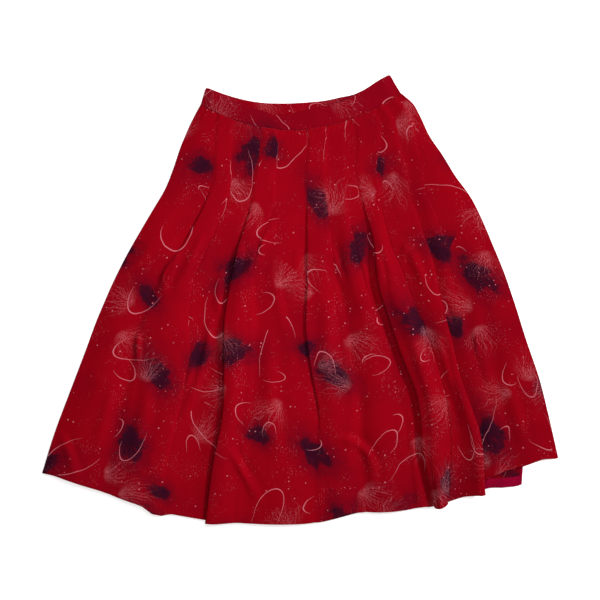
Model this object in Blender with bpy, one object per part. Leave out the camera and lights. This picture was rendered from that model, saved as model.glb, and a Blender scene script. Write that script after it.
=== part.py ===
"""Pleated skirt laid flat on its back. Two flared panels, each with five box pleats that are
stitched down from the waist to the hip, meet at the sides under a two-piece waistband.
X runs across the skirt, +Y up towards the waist and +Z up from the surface it lies on."""

from collections import namedtuple

import bpy
import numpy as np

# Cloth walls and gaps, in millimetres
MILLIMETRE = 0.001
CLOTH_WALL = 1.1
BAND_WALL = 1.6
SEAM_GAP = 0.3
BAND_SEAM_GAP = 0.55
LAYER_STEP = 1.6
TURN_RADIUS = 1.2
SHOULDER = 1.5
FLOOR_TOUCH = 0.02

# Corners of the flat skirt, as X and Y in millimetres from its middle
SEAM_LEFT = np.array((-193.6, 381.3))
SEAM_RIGHT = np.array((195.5, 403.8))
HEM_LEFT = np.array((-502.6, -336.3))
HEM_RIGHT = np.array((502.6, -307.0))
BAND_TOP_LEFT = np.array((-184.8, 411.6))
BAND_TOP_RIGHT = np.array((174.0, 435.9))

# How far the middle of each cross line hangs below the straight line between its ends
FRONT_SEAM_SAG = 60.0
BACK_SEAM_SAG = 38.0
HEM_SAG = 111.0

# Height of the cloth's middle surface over the floor, and the air under the front
BACK_LEVEL = CLOTH_WALL / 2
BACK_BAND_LEVEL = BAND_WALL / 2
FRONT_EDGE_LEVEL = CLOTH_WALL + SEAM_GAP + CLOTH_WALL / 2
PLEAT_CLEARANCE = 2 * LAYER_STEP + 0.2
FRONT_LOFT = 4.0
EDGE_SHARE = 0.055
BACK_INSET = 0.0025
BAND_MOUTH = 3.5

# The side outline: how far each side stands outside the straight line from seam to hem
Section = namedtuple("Section", "down left_out right_out")
SIDE_OUTLINE = (
    Section(0.00, 0.0, 0.0),
    Section(0.03, 2.5, 15.0),
    Section(0.06, 4.0, 18.0),
    Section(0.12, 3.5, 20.0),
    Section(0.17, 0.0, 29.0),
    Section(0.23, -1.5, 37.0),
    Section(0.28, 4.0, 48.0),
    Section(0.34, 11.0, 52.0),
    Section(0.41, 18.0, 51.5),
    Section(0.50, 22.0, 50.0),
    Section(0.58, 22.0, 44.8),
    Section(0.67, 18.0, 37.2),
    Section(0.78, 14.0, 30.0),
    Section(0.89, 9.5, 16.0),
    Section(1.00, 0.0, 0.0),
)

# How far the hem hangs past its even curve, from the left side (0) to the right side (1)
HemPoint = namedtuple("HemPoint", "across drop")
FRONT_HEM = (
    HemPoint(0.000, 0.0),
    HemPoint(0.031, -4.5),
    HemPoint(0.080, -5.5),
    HemPoint(0.112, -6.5),
    HemPoint(0.157, -2.6),
    HemPoint(0.192, 0.8),
    HemPoint(0.203, 6.6),
    HemPoint(0.213, 11.0),
    HemPoint(0.222, 11.4),
    HemPoint(0.232, 9.0),
    HemPoint(0.248, 4.0),
    HemPoint(0.315, 4.6),
    HemPoint(0.317, 11.3),
    HemPoint(0.384, 3.3),
    HemPoint(0.500, 2.7),
    HemPoint(0.540, 0.5),
    HemPoint(0.580, -6.1),
    HemPoint(0.612, -10.5),
    HemPoint(0.650, -5.0),
    HemPoint(0.694, -0.5),
    HemPoint(0.730, 1.2),
    HemPoint(0.757, 5.0),
    HemPoint(0.760, 9.0),
    HemPoint(0.764, 11.2),
    HemPoint(0.770, 12.4),
    HemPoint(0.776, 12.4),
    HemPoint(0.782, 10.6),
    HemPoint(0.785, 8.0),
    HemPoint(0.788, 4.6),
    HemPoint(0.812, 3.7),
    HemPoint(0.840, 8.9),
    HemPoint(0.857, 13.5),
    HemPoint(0.859, -16.5),
    HemPoint(0.898, -19.2),
    HemPoint(0.925, -14.4),
    HemPoint(0.964, -11.5),
    HemPoint(1.000, 0.0),
)
BACK_HEM = (
    HemPoint(0.000, -4.0),
    HemPoint(0.100, -8.0),
    HemPoint(0.160, -6.0),
    HemPoint(0.250, -1.0),
    HemPoint(0.500, -2.0),
    HemPoint(0.600, -15.0),
    HemPoint(0.660, -9.0),
    HemPoint(0.750, 0.0),
    HemPoint(0.800, 0.0),
    HemPoint(0.863, 3.1),
    HemPoint(0.898, 13.9),
    HemPoint(0.929, 20.4),
    HemPoint(0.932, -22.0),
    HemPoint(0.970, -16.0),
    HemPoint(1.000, -5.0),
)
HEM_DROP_START = 0.78

# Waistband tops: drop below the straight line between the band's top corners
BandPoint = namedtuple("BandPoint", "across front_drop back_drop")
BAND_TOP = (
    BandPoint(0.00, 0.0, 0.0),
    BandPoint(0.09, 13.8, 11.9),
    BandPoint(0.18, 29.6, 23.8),
    BandPoint(0.25, 42.7, 31.0),
    BandPoint(0.31, 52.0, 35.5),
    BandPoint(0.39, 62.5, 38.6),
    BandPoint(0.44, 61.8, 40.0),
    BandPoint(0.52, 58.0, 40.6),
    BandPoint(0.57, 55.0, 40.6),
    BandPoint(0.65, 51.5, 39.6),
    BandPoint(0.73, 46.0, 35.2),
    BandPoint(0.80, 36.0, 32.0),
    BandPoint(0.86, 25.0, 24.0),
    BandPoint(0.93, 11.0, 10.5),
    BandPoint(1.00, 0.0, 0.0),
)

# Fold lines of the front: where each lies across the skirt, in thousandths of its width from
# the left side, at hundredths of the way down. A fold that faces left has the cloth on its
# right side on top. The hem's own step lies within HEM_SIDE of the line, as a share of the width.
HEM_SIDE = 0.002
LINE_STATIONS = (0.0, 0.08, 0.14, 0.22, 0.30, 0.40, 0.50, 0.60, 0.72, 0.86, 1.0)
FoldLine = namedtuple(
    "FoldLine", "name facing at_0 at_8 at_14 at_22 at_30 at_40 at_50 at_60 at_72 at_86 at_100"
)
FOLD_LINES = (
    FoldLine("first_left", "left", 90, 127, 148, 137, 127, 112, 104, 102, 116, 125, 130),
    FoldLine("first_right", "right", 157, 188, 205, 202, 194, 187, 200, 226, 226, 222, 222),
    FoldLine("second_left", "left", 308, 312, 302, 288, 276, 282, 288, 304, 318, 315, 316),
    FoldLine("second_right", "right", 373, 378, 378, 362, 336, 344, 362, 372, 376, 378, 380),
    FoldLine("third_left", "left", 530, 512, 500, 488, 485, 494, 494, 510, 530, 534, 536),
    FoldLine("third_right", "right", 616, 590, 574, 562, 561, 575, 590, 600, 610, 615, 618),
    FoldLine("valley_right", "right", 692, 678, 658, 636, 645, 661, 680, 692, 702, 708, 712),
    FoldLine("fourth_left", "left", 752, 724, 700, 688, 694, 685, 698, 720, 745, 743, 758),
    FoldLine("fourth_right", "right", 862, 812, 780, 746, 734, 757, 775, 794, 805, 802, 786),
    FoldLine("fifth_left", "right", 908, 888, 876, 848, 836, 842, 838, 843, 847, 862, 858),
    FoldLine("fifth_right", "right", 968, 958, 936, 900, 888, 890, 892, 896, 902, 908, 912),
)

# How far each fold laps over the cloth beside it and how high its top stands over that
# cloth, in millimetres, at hundredths of the way down
DEPTH_STATIONS = (0.0, 0.22, 0.32, 0.45, 0.60, 0.80, 1.0)
FoldDepth = namedtuple("FoldDepth", "name at_0 at_22 at_32 at_45 at_60 at_80 at_100")
FOLD_LAPS = (
    FoldDepth("first_left", 10, 11, 7, 4, 2, 0, 0),
    FoldDepth("first_right", 10, 11, 8, 5, 3, 2, 0),
    FoldDepth("second_left", 10, 11, 9, 7, 7, 7, 6),
    FoldDepth("second_right", 10, 11, 9, 4, 0, 0, 0),
    FoldDepth("third_left", 11, 12, 9, 7, 5, 1, 0),
    FoldDepth("third_right", 11, 10, 5, 1, 0, 0, 0),
    FoldDepth("valley_right", 0, 2, 6, 4, 0, 0, 0),
    FoldDepth("fourth_left", 11, 10, 7, 8, 7, 5, 6),
    FoldDepth("fourth_right", 11, 10, 6, 5, 4, 3, 3),
    FoldDepth("fifth_left", 5, 10, 8, 7, 6, 8, 9),
    FoldDepth("fifth_right", 6, 8, 3, 0, 0, 0, 0),
)
FOLD_RISES = (
    FoldDepth("first_left", 3.2, 3.4, 5, 5, 4, 2, 1),
    FoldDepth("first_right", 3.2, 3.4, 6, 6, 5, 4, 2),
    FoldDepth("second_left", 3.2, 3.4, 6, 7, 8, 8, 6),
    FoldDepth("second_right", 3.2, 3.6, 8, 7, 3, 2, 1),
    FoldDepth("third_left", 3.2, 3.4, 5, 6, 6, 3, 1),
    FoldDepth("third_right", 3.2, 3.3, 4, 2, 1.5, 1, 1),
    FoldDepth("valley_right", 0.5, 3.4, 11, 9, 3, 2, 1),
    FoldDepth("fourth_left", 3.2, 3.6, 9, 12, 12, 11, 9),
    FoldDepth("fourth_right", 3.2, 3.4, 8, 9, 9, 8, 9),
    FoldDepth("fifth_left", 3.2, 3.4, 5, 6, 7, 10, 8),
    FoldDepth("fifth_right", 3.2, 3.3, 3.2, 2, 1, 1, 1),
)

# The cloth between the folds: columns of points in each strip, and how far its middle
# stands above (or below) the line between its sides
CROWN_STATIONS = (0.0, 0.22, 0.45, 0.70, 1.0)
Strip = namedtuple("Strip", "name columns at_0 at_22 at_45 at_70 at_100")
STRIPS = (
    Strip("left_side", 3, 0, 0, 2, 4, 3),
    Strip("first_pleat", 2, 0, 0.5, 3, 3, 2),
    Strip("first_valley", 2, 0, 0, -2, -4, -1),
    Strip("second_pleat", 2, 0, 0.5, 3, 2, 2),
    Strip("left_of_centre", 3, 0, 0, 2, 3, 4),
    Strip("third_pleat", 2, 0, 0.5, 4, 4, 3),
    Strip("right_of_centre", 2, 0, 0, 3, 4, 3),
    Strip("deep_valley", 1, 0, 0, -1, 0, 2),
    Strip("fourth_pleat", 2, 0, 0.5, 5, 7, 6),
    Strip("right_valley", 2, 0, 0, 2, -2, -4),
    Strip("fifth_pleat", 2, 0, 0.5, 3, 3, 2),
    Strip("right_side", 2, 0, 0, 2, 4, 3),
)
FRONT_ROWS = np.concatenate((
    (0, 0.04),
    np.linspace(0.09, 0.39, 7),
    np.linspace(0.45, 0.57, 3),
    np.linspace(0.64, 0.92, 5),
    (1,),
))

# The back's five box pleats lie flat against the floor and run out below the hip
BACK_PLEATS = (0.13, 0.32, 0.50, 0.68, 0.87)
BACK_PLEAT_WIDTH = 27.0
BACK_LAP = 10.5
BACK_STITCHED = 0.18
BACK_LAP_END = 0.34
BACK_FLAT = 0.46
BACK_HEM_STEP = (0.929, 0.932)
BACK_ROWS = (0, 0.09, 0.18, 0.23, 0.28, 0.33, 0.39, 0.46, 0.60, 0.75, 0.88, 1)
BAND_COLUMNS = 29

# Surface finish: matte crepe, crimson red
CREPE_RED = (0.40, 0.004, 0.016, 1.0)
CREPE_RED_BAND = (0.36, 0.004, 0.016, 1.0)
CREPE_ROUGHNESS = 0.85


def ease(value):
    """Smooth step from 0 to 1."""
    value = np.clip(value, 0.0, 1.0)
    return value * value * (3 - 2 * value)


def curve_through(position, stations, values):
    """Smooth curve through values at stations, read at a position."""
    stations = np.asarray(stations, float)
    values = np.asarray(values, float)
    slopes = np.gradient(values, stations)
    index = int(np.clip(np.searchsorted(stations, position, side="right") - 1, 0, len(stations) - 2))
    span = stations[index + 1] - stations[index]
    part = (position - stations[index]) / span
    start, end = values[index], values[index + 1]
    leave, arrive = slopes[index] * span, slopes[index + 1] * span
    low, high = min(start, end), max(start, end)
    cubic = 2 * part ** 3 - 3 * part ** 2
    smooth = start * (cubic + 1) - end * cubic
    smooth += leave * (part ** 3 - 2 * part ** 2 + part) + arrive * (part ** 3 - part ** 2)
    reach = 0.15 * (high - low)
    return float(np.clip(smooth, low - reach, high + reach))


def side_points(down):
    """Left and right side of the skirt at a share of the way down."""
    stations = [section.down for section in SIDE_OUTLINE]
    left = SEAM_LEFT + (HEM_LEFT - SEAM_LEFT) * down
    right = SEAM_RIGHT + (HEM_RIGHT - SEAM_RIGHT) * down
    left_out = curve_through(down, stations, [section.left_out for section in SIDE_OUTLINE])
    right_out = curve_through(down, stations, [section.right_out for section in SIDE_OUTLINE])
    return left - (left_out, 0.0), right + (right_out, 0.0)


def hem_drop(hem, across):
    """Extra length of a panel at a place along its hem."""
    return float(np.interp(across, [point.across for point in hem], [point.drop for point in hem]))


def place(across, down, seam_sag, drop):
    """X and Y of a point of a panel."""
    left, right = side_points(down)
    sag = ((1 - down) * seam_sag + down * HEM_SAG) * 4 * across * (1 - across)
    fall = drop * ease((down - HEM_DROP_START) / (1 - HEM_DROP_START))
    x, y = left + (right - left) * across
    return x, y - sag - fall


def fold_section(facing, lap, rise):
    """A fold seen end on: seven points from left to right along the cloth, as sideways
    distance from the fold line, height over the lower cloth, and 0 or 1 for its side."""
    radius = max(min(max(TURN_RADIUS, 0.3 * rise), 0.4 * lap), 0.05)
    closed = ease((lap - 0.5) / 3.0)
    folded = np.array((-3.0, lap - radius, lap, lap - radius, radius, 0.0, radius + SHOULDER))
    opened = np.array((-9.0, -5.0, -2.0, 0.0, 2.0, 5.0, 9.0))
    folded_height = np.array((0.0, 0.0, 0.25, 0.5, 0.5, 0.75, 1.0))
    opened_height = np.array((0.0, 0.12, 0.34, 0.5, 0.66, 0.88, 1.0))
    sideways = opened + (folded - opened) * closed
    height = (opened_height + (folded_height - opened_height) * closed) * rise
    on_top = np.array((0, 0, 0, 0, 1, 1, 1))
    if facing == "right":
        return -sideways[::-1], height[::-1], on_top[::-1]
    return sideways, height, on_top


def folded_row(down):
    """One cross section of the front: place across, height over the lowest cloth and
    the place across that sets each point's hem length."""
    left, right = side_points(down)
    width = float(np.linalg.norm(right - left))
    ends = []
    for line, lap, rise in zip(FOLD_LINES, FOLD_LAPS, FOLD_RISES):
        middle = curve_through(down, LINE_STATIONS, line[2:]) / 1000
        sideways, height, on_top = fold_section(
            line.facing,
            max(curve_through(down, DEPTH_STATIONS, lap[1:]), 0.0),
            max(curve_through(down, DEPTH_STATIONS, rise[1:]), 0.0),
        )
        top_side = HEM_SIDE if line.facing == "left" else -HEM_SIDE
        hem_place = middle + np.where(on_top == 1, top_side, -top_side)
        ends.append((middle + sideways / width, height, hem_place))
    across, heights, hem_places = [0.0], [0.0], [0.0]
    for index, strip in enumerate(STRIPS):
        crown = curve_through(down, CROWN_STATIONS, strip[2:])
        start, start_height = across[-1], heights[-1]
        if index < len(ends):
            end, end_height = ends[index][0][0], ends[index][1][0]
        else:
            end, end_height = 1.0, 0.0
        for step in range(1, strip.columns + 1):
            share = step / (strip.columns + 1)
            spot = start + (end - start) * share
            height = start_height + (end_height - start_height) * ease(share)
            across.append(spot)
            heights.append(height + crown * np.sin(np.pi * share))
            hem_places.append(spot)
        if index < len(ends):
            across.extend(ends[index][0])
            heights.extend(ends[index][1])
            hem_places.extend(ends[index][2])
    across.append(1.0)
    heights.append(0.0)
    hem_places.append(1.0)
    return across, heights, hem_places


def inner_share(across):
    """0 at the sides, 1 inside them."""
    return ease(min(across, 1 - across) / EDGE_SHARE)


def front_grid():
    """Middle surface of the front, row by row from the waist seam to the hem."""
    grid = []
    for down in FRONT_ROWS:
        over_pleats = PLEAT_CLEARANCE * (1 - ease((down - BACK_LAP_END - 0.04) / 0.12))
        row = []
        for across, height, hem_place in zip(*folded_row(down)):
            inside = inner_share(across)
            lowest = FRONT_EDGE_LEVEL + over_pleats * inside
            air = FRONT_LOFT * inside * ease((down - 0.15) / 0.4)
            x, y = place(across, down, FRONT_SEAM_SAG, hem_drop(FRONT_HEM, hem_place))
            row.append((x, y, max(lowest, lowest + air + height)))
        grid.append(row)
    return np.array(grid)


def back_grid():
    """Middle surface of the back: pleats stand up inside, plain strips touch the floor."""
    grid = []
    for down in BACK_ROWS:
        left, right = side_points(down)
        width = float(np.linalg.norm(right - left))
        lap = BACK_LAP * (1 - ease((down - BACK_STITCHED) / (BACK_LAP_END - BACK_STITCHED)))
        rise = 2 * LAYER_STEP * (1 - ease((down - BACK_LAP_END) / (BACK_FLAT - BACK_LAP_END)))
        half = BACK_PLEAT_WIDTH / 2 / width
        row_across, row_height = [BACK_INSET, 0.04], [0.0, 0.0]
        for middle in BACK_PLEATS:
            for facing, side in (("left", -1), ("right", 1)):
                sideways, height, _ = fold_section(facing, lap, rise)
                row_across.extend(middle + side * half + sideways / width)
                row_height.extend(rise - height)
            if middle != BACK_PLEATS[-1]:
                row_across.extend((middle + half + 0.035, middle + 0.095))
                row_height.extend((0.0, 0.0))
        row_across.extend(BACK_HEM_STEP + (1 - BACK_INSET,))
        row_height.extend((0.0, 0.0, 0.0))
        row = []
        for across, height in zip(row_across, row_height):
            x, y = place(across, down, BACK_SEAM_SAG, hem_drop(BACK_HEM, across))
            row.append((x, y, BACK_LEVEL + height))
        grid.append(row)
    return np.array(grid)


def band_grid(front):
    """Middle surface of half the waistband, from its top edge to its seam."""
    stations = [point.across for point in BAND_TOP]
    drops = [point.front_drop if front else point.back_drop for point in BAND_TOP]
    seam_sag = FRONT_SEAM_SAG if front else BACK_SEAM_SAG
    grid = []
    for share in (0.0, 0.5, 1.0):
        row = []
        for across in np.linspace(0, 1, BAND_COLUMNS):
            top = BAND_TOP_LEFT + (BAND_TOP_RIGHT - BAND_TOP_LEFT) * across
            top = top - (0.0, curve_through(across, stations, drops))
            seam = SEAM_LEFT + (SEAM_RIGHT - SEAM_LEFT) * across
            seam = seam - (0.0, seam_sag * 4 * across * (1 - across) - BAND_SEAM_GAP)
            x, y = top + (seam - top) * share
            level = BACK_BAND_LEVEL
            if front:
                level += BAND_WALL + SEAM_GAP + BAND_MOUTH * inner_share(across)
            row.append((x, y, level))
        grid.append(row)
    return np.array(grid)


def surface_normals(grid):
    """Unit normals at the grid's points, and how far each has to be stretched so that the
    wall keeps its thickness round a turn."""
    along = grid[:, 1:] - grid[:, :-1]
    down = grid[1:] - grid[:-1]
    face = -np.cross((along[:-1] + along[1:]) / 2, (down[:, :-1] + down[:, 1:]) / 2)
    face /= np.linalg.norm(face, axis=2, keepdims=True)
    total = np.zeros_like(grid)
    for rows, face_rows in ((slice(0, -1), face), (slice(1, None), face)):
        total[rows, :-1] += face_rows
        total[rows, 1:] += face_rows
    normal = total / np.linalg.norm(total, axis=2, keepdims=True)
    facing = np.ones(grid.shape[:2])
    agreement = np.sum(normal[:-1, :-1] * face, axis=2)
    facing[:-1, :-1] = np.minimum(facing[:-1, :-1], agreement)
    agreement = np.sum(normal[:-1, 1:] * face, axis=2)
    facing[:-1, 1:] = np.minimum(facing[:-1, 1:], agreement)
    stretch = 1 / np.clip(facing, 0.75, 1.0)
    return normal * stretch[..., None]


def add_wall(name, grid, thickness, material, floor=None):
    """One closed body: a wall of even thickness round a grid's middle surface."""
    offset = surface_normals(grid) * thickness / 2
    outer, inner = grid + offset, grid - offset
    if floor is not None:
        resting = grid[..., 2] < thickness / 2 + FLOOR_TOUCH
        inner[..., 2] = np.where(resting, floor, np.maximum(inner[..., 2], floor))
    rows, columns = grid.shape[:2]
    points = np.concatenate((outer.reshape(-1, 3), inner.reshape(-1, 3))) * MILLIMETRE
    under = rows * columns
    faces = []
    for row in range(rows - 1):
        for column in range(columns - 1):
            a = row * columns + column
            b, c, d = a + 1, a + columns + 1, a + columns
            faces.append((a, d, c, b))
            faces.append((a + under, b + under, c + under, d + under))
    rim = [column for column in range(columns)]
    rim += [row * columns + columns - 1 for row in range(1, rows)]
    rim += [(rows - 1) * columns + column for column in range(columns - 2, -1, -1)]
    rim += [row * columns for row in range(rows - 2, 0, -1)]
    for start, end in zip(rim, rim[1:] + rim[:1]):
        faces.append((start, end, end + under, start + under))
    mesh = bpy.data.meshes.new(name)
    mesh.from_pydata(points.tolist(), [], faces)
    mesh.update()
    mesh.shade_smooth()
    mesh.set_sharp_from_angle(angle=np.radians(50))
    mesh.materials.append(material)
    piece = bpy.data.objects.new(name, mesh)
    bpy.context.scene.collection.objects.link(piece)
    return piece


def crepe(name, colour):
    """Matte woven crepe."""
    material = bpy.data.materials.new(name)
    material.use_nodes = True
    shader = material.node_tree.nodes["Principled BSDF"]
    shader.inputs["Base Color"].default_value = colour
    shader.inputs["Roughness"].default_value = CREPE_ROUGHNESS
    shader.inputs["Metallic"].default_value = 0.0
    return material


for old in list(bpy.data.objects):
    bpy.data.objects.remove(old, do_unlink=True)

back_crepe = crepe("back_crepe", CREPE_RED)
front_crepe = crepe("front_crepe", CREPE_RED)
back_band_crepe = crepe("back_band_crepe", CREPE_RED_BAND)
front_band_crepe = crepe("front_band_crepe", CREPE_RED_BAND)
add_wall("skirt_back", back_grid(), CLOTH_WALL, back_crepe, floor=0.0)
add_wall("skirt_front", front_grid(), CLOTH_WALL, front_crepe)
add_wall("waistband_back", band_grid(front=False), BAND_WALL, back_band_crepe, floor=0.0)
add_wall("waistband_front", band_grid(front=True), BAND_WALL, front_band_crepe)
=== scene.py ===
"""Looks of the pleated skirt, laid flat on its back: printed crepe panels with creases and a
turned-up hem, a folded waistband, the sewing, and a plain studio seen from straight above.
X runs across the skirt, +Y up towards the waist and +Z up from the floor. Cloth is worked out
in millimetres and becomes metres where its mesh is made."""
from collections import namedtuple

import bpy
import numpy as np
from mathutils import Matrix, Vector, noise


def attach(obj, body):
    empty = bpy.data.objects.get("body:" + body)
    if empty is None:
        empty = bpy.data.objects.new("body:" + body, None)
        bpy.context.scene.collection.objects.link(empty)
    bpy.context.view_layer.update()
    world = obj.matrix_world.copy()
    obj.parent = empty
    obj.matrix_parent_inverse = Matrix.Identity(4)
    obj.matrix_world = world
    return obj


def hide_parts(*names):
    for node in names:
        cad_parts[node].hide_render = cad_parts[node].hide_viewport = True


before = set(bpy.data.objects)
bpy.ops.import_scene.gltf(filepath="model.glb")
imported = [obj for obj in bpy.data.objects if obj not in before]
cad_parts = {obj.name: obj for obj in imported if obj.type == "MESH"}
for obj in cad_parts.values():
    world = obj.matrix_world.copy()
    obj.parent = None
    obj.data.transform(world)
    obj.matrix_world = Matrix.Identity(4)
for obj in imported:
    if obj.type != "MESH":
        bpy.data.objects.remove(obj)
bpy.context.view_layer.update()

# Back panel
# One flared panel of printed viscose crepe that lies face down on the floor. Its five box pleats
# are stitched down from the waist and run out below the hip, and its hem is turned up to the
# inside, where it shows as a plain strip past the front's shorter side.
MILLIMETRE = 0.001
CLOTH_THICKNESS = 0.5
LAYER_OFFSET = 0.28
HEM_TURN_ANGLES = (40, 90, 140)
HEM_TURN_ROWS = 3
SEAM_LEFT = np.array((-193.6, 381.3))
SEAM_RIGHT = np.array((195.5, 403.8))
HEM_LEFT = np.array((-502.6, -336.3))
HEM_RIGHT = np.array((502.6, -307.0))
BACK_SEAM_SAG = 38.0
HEM_SAG = 111.0
HEM_DROP_START = 0.78
LAYER_STEP = 1.6
TURN_RADIUS = 1.2
TUCK_SHARE = 0.65
OVERSWING = 0.15
SHOULDER = 2.6
SHOULDER_SHARE = 0.9
BACK_LEVEL = 0.55
BACK_PLEATS = (0.13, 0.32, 0.50, 0.68, 0.87)
BACK_PLEAT_WIDTH = 27.0
BACK_LAP = 10.5
BACK_STITCHED = 0.18
BACK_LAP_END = 0.34
BACK_FLAT = 0.46
BACK_SIDE_INSET = 0.0025
BACK_HEM_STEP = (0.929, 0.932)
BACK_DOWN = np.concatenate((np.linspace(0, 0.06, 10)[:-1], np.linspace(0.06, 1, 120)))


def table(kind, *rows):
    """Rows of numbers with their columns named."""
    return [kind(*row) for row in rows]


# The side outline: how far each side stands outside the straight line from seam to hem
Section = namedtuple("Section", "down left_out right_out")
SIDE_OUTLINE = table(
    Section,
    (0.00, 0.0, 0.0), (0.03, 2.5, 15.0), (0.06, 4.0, 18.0), (0.12, 3.5, 20.0), (0.17, 0.0, 29.0),
    (0.23, -1.5, 37.0), (0.28, 4.0, 48.0), (0.34, 11.0, 52.0), (0.41, 18.0, 51.5), (0.50, 22.0, 50.0),
    (0.58, 22.0, 44.8), (0.67, 18.0, 37.2), (0.78, 14.0, 30.0), (0.89, 9.5, 16.0), (1.00, 0.0, 0.0),
)

# How far the hem hangs past its even curve, from the left side (0) to the right side (1)
HemPoint = namedtuple("HemPoint", "across drop")
BACK_HEM = table(
    HemPoint,
    (0.000, -4.0), (0.100, -8.0), (0.160, -6.0), (0.250, -1.0), (0.500, -2.0), (0.600, -15.0),
    (0.660, -9.0), (0.750, 0.0), (0.800, 0.0), (0.863, 3.1), (0.898, 13.9), (0.929, 20.4),
    (0.932, -22.0), (0.970, -16.0), (1.000, -5.0),
)

# The slack cloth's waves: their size across, how far they are drawn out down the skirt, and height
Wave = namedtuple("Wave", "grain stretch height seed")
SLACK_WAVES = table(Wave, (62.0, 2.2, 3.4, 1.7), (21.0, 1.6, 1.0, 5.3), (8.0, 1.0, 0.18, 9.1))

# Soft creases, as the X and Y in millimetres of a bent line's start, middle pull and end
Crease = namedtuple("Crease", "start pull end width height")
BACK_CREASES = table(
    Crease,
    ((-120, 180), (-190, 40), (-330, -160), 9, 1.6), ((-60, 60), (-90, -120), (-210, -330), 12, 1.8),
    ((30, 40), (10, -150), (-30, -380), 11, 1.6), ((110, 120), (150, -60), (190, -330), 13, 1.8),
    ((160, 220), (250, 60), (380, -190), 9, 1.5), ((330, -80), (370, -190), (420, -260), 8, 1.2),
)


def ease(value):
    """Smooth step from 0 to 1."""
    value = np.clip(value, 0.0, 1.0)
    return value * value * (3 - 2 * value)


def listed(rows, name):
    """One named column of a table."""
    return [getattr(row, name) for row in rows]


def unit(vectors):
    """The same directions with a length of 1."""
    return vectors / np.maximum(np.linalg.norm(vectors, axis=-1, keepdims=True), 1e-9)


def run_along(steps):
    """How far along a line each of its points lies, from the steps between them."""
    return np.concatenate(([0.0], np.cumsum(steps)))


def smooth_step(part, start, end, leave, arrive):
    """From start to end on a curve that leaves and arrives at its own slopes."""
    turn = 2 * part ** 3 - 3 * part ** 2
    bend = leave * (part ** 3 - 2 * part ** 2 + part) + arrive * (part ** 3 - part ** 2)
    return start * (turn + 1) - end * turn + bend


def curve_through(position, stations, values):
    """Smooth curve through values at stations, read at a position. It may swing past the two
    nearest values by a small share of their difference."""
    slopes = np.gradient(np.asarray(values, float), stations)
    index = int(np.clip(np.searchsorted(stations, position, side="right") - 1, 0, len(stations) - 2))
    start, end = values[index], values[index + 1]
    span = stations[index + 1] - stations[index]
    part = (position - stations[index]) / span
    smooth = smooth_step(part, start, end, slopes[index] * span, slopes[index + 1] * span)
    swing = OVERSWING * abs(end - start)
    return float(np.clip(smooth, min(start, end) - swing, max(start, end) + swing))


def side_points(down):
    """Left and right side of the skirt at a share of the way down."""
    stations = listed(SIDE_OUTLINE, "down")
    left = SEAM_LEFT + (HEM_LEFT - SEAM_LEFT) * down
    right = SEAM_RIGHT + (HEM_RIGHT - SEAM_RIGHT) * down
    left_out = curve_through(down, stations, listed(SIDE_OUTLINE, "left_out"))
    right_out = curve_through(down, stations, listed(SIDE_OUTLINE, "right_out"))
    return left - (left_out, 0.0), right + (right_out, 0.0)


def hem_drop(hem, places):
    """Smooth curve through a hem's points that never goes past them, read at many places."""
    stations, drops = np.array(listed(hem, "across")), np.array(listed(hem, "drop"))
    widths = np.diff(stations)
    rates = np.diff(drops) / widths
    before, after = rates[:-1], rates[1:]
    same_way = before * after > 0
    total = np.where(same_way, before + after, 1.0)
    slopes = np.zeros(len(stations))
    slopes[1:-1] = np.where(same_way, 2 * before * after / total, 0.0)
    index = np.clip(np.searchsorted(stations, places, side="right") - 1, 0, len(widths) - 1)
    span = widths[index]
    part = np.clip((places - stations[index]) / span, 0.0, 1.0)
    return smooth_step(part, drops[index], drops[index + 1], slopes[index] * span, slopes[index + 1] * span)


def lay_row(across, down, seam_sag, hem, hem_places):
    """X and Y of a row of a panel's points."""
    left, right = side_points(down)
    sag = ((1 - down) * seam_sag + down * HEM_SAG) * 4 * across * (1 - across)
    fall = hem_drop(hem, hem_places) * ease((down - HEM_DROP_START) / (1 - HEM_DROP_START))
    x = left[0] + (right[0] - left[0]) * across
    y = left[1] + (right[1] - left[1]) * across
    return x, y - sag - fall


def fold_section(facing, lap, rise, ramp=9.0):
    """A fold seen end on: seven points from left to right along the cloth, as sideways
    distance from the fold line, height over the lower cloth, and 0 or 1 for its side. With
    no lap it is a slope that reaches ramp to each side."""
    radius = max(min(max(TURN_RADIUS, 0.2 * rise), 0.4 * lap), 0.05)
    closed = ease((lap - 0.5) / 3.0)
    shoulder = radius + SHOULDER + SHOULDER_SHARE * max(rise - 2 * LAYER_STEP, 0.0)
    folded = np.array((-3.0, lap - radius, lap, lap - radius, radius, 0.0, shoulder))
    opened = ramp * np.array((-1.0, -0.56, -0.22, 0.0, 0.22, 0.56, 1.0))
    tuck = TUCK_SHARE * rise
    folded_height = np.array((0.0, 0.0, 0.5 * tuck, tuck, tuck, 1.1 * tuck, rise))
    opened_height = rise * np.array((0.0, 0.12, 0.34, 0.5, 0.66, 0.88, 1.0))
    sideways = opened + (folded - opened) * closed
    height = opened_height + (folded_height - opened_height) * closed
    on_top = np.array((0, 0, 0, 0, 1, 1, 1))
    if facing == "right":
        return -sideways[::-1], height[::-1], on_top[::-1]
    return sideways, height, on_top


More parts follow.
